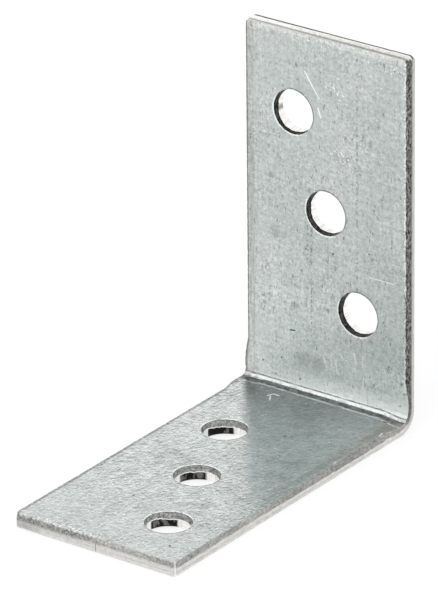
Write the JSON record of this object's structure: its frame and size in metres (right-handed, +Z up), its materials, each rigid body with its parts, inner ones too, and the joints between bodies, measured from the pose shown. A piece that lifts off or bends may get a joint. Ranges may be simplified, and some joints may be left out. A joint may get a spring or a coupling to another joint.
{
  "type": "angle bracket",
  "caption": "Right-angle bracket of thick zinc-coated steel strip, bent once, with plain screw holes stepping diagonally along both legs.",
  "frame": {"origin": "middle of the lower leg's underside, at the bottom centre of the bounding box", "axes": "+Z up along the upright leg, +Y from the end of the lower leg towards the upright leg, +X along the bend"},
  "size_m": [0.031, 0.0624, 0.0625],
  "materials": {
    "zinc_steel": "dull light-grey zinc coating with a fine grain, smooth and torn bands on the sheared edges"
  },
  "bodies": {
    "root": {"angle_bracket": "zinc_steel"}
  },
  "joints": []
}
